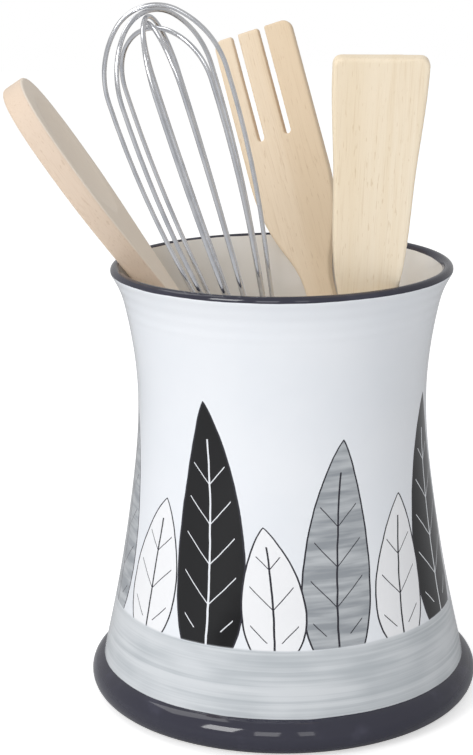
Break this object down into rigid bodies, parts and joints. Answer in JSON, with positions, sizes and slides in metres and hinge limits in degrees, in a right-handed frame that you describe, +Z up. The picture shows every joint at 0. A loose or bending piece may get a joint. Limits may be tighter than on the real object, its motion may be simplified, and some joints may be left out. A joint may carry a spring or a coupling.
{
  "type": "utensil crock",
  "caption": "Waisted glazed stoneware utensil crock with a rolled foot and dark rim, holding a wooden spoon, fork and turner and a balloon whisk that lift out.",
  "frame": {"origin": "centre of the foot ring, on the surface that the crock stands on", "axes": "+Z up along the crock's axis, -Y towards the front, +X to the right seen from the front"},
  "size_m": [0.2077, 0.1846, 0.3137],
  "materials": {
    "glaze": "glossy",
    "beech": "bare, sanded",
    "steel": "polished"
  },
  "bodies": {
    "crock": {"crock_body": "glaze"},
    "spoon": {"wooden_spoon": "beech"},
    "fork": {"wooden_fork": "beech"},
    "turner": {"wooden_turner": "beech"},
    "whisk": {"whisk_handle": "steel", "whisk_wire_plug": "steel", "whisk_end_cap": "steel", "whisk_hanging_loop": "steel", "whisk_wire_1": "steel", "whisk_wire_2": "steel", "whisk_wire_3": "steel", "whisk_wire_4": "steel", "whisk_wire_5": "steel"}
  },
  "joints": [
    {"name": "spoon_lift", "type": "slide", "parent": "crock", "child": "spoon", "axis": [-0.5527, -0.0879, 0.8287], "range_m": [0, 0.24]},
    {"name": "fork_lift", "type": "slide", "parent": "crock", "child": "fork", "axis": [-0.2436, 0.2873, 0.9264], "range_m": [0, 0.21]},
    {"name": "turner_lift", "type": "slide", "parent": "crock", "child": "turner", "axis": [0.0309, -0.2962, 0.9546], "range_m": [0, 0.21]},
    {"name": "whisk_lift", "type": "slide", "parent": "crock", "child": "whisk", "axis": [-0.2844, -0.0937, 0.9541], "range_m": [0, 0.21]}
  ]
}
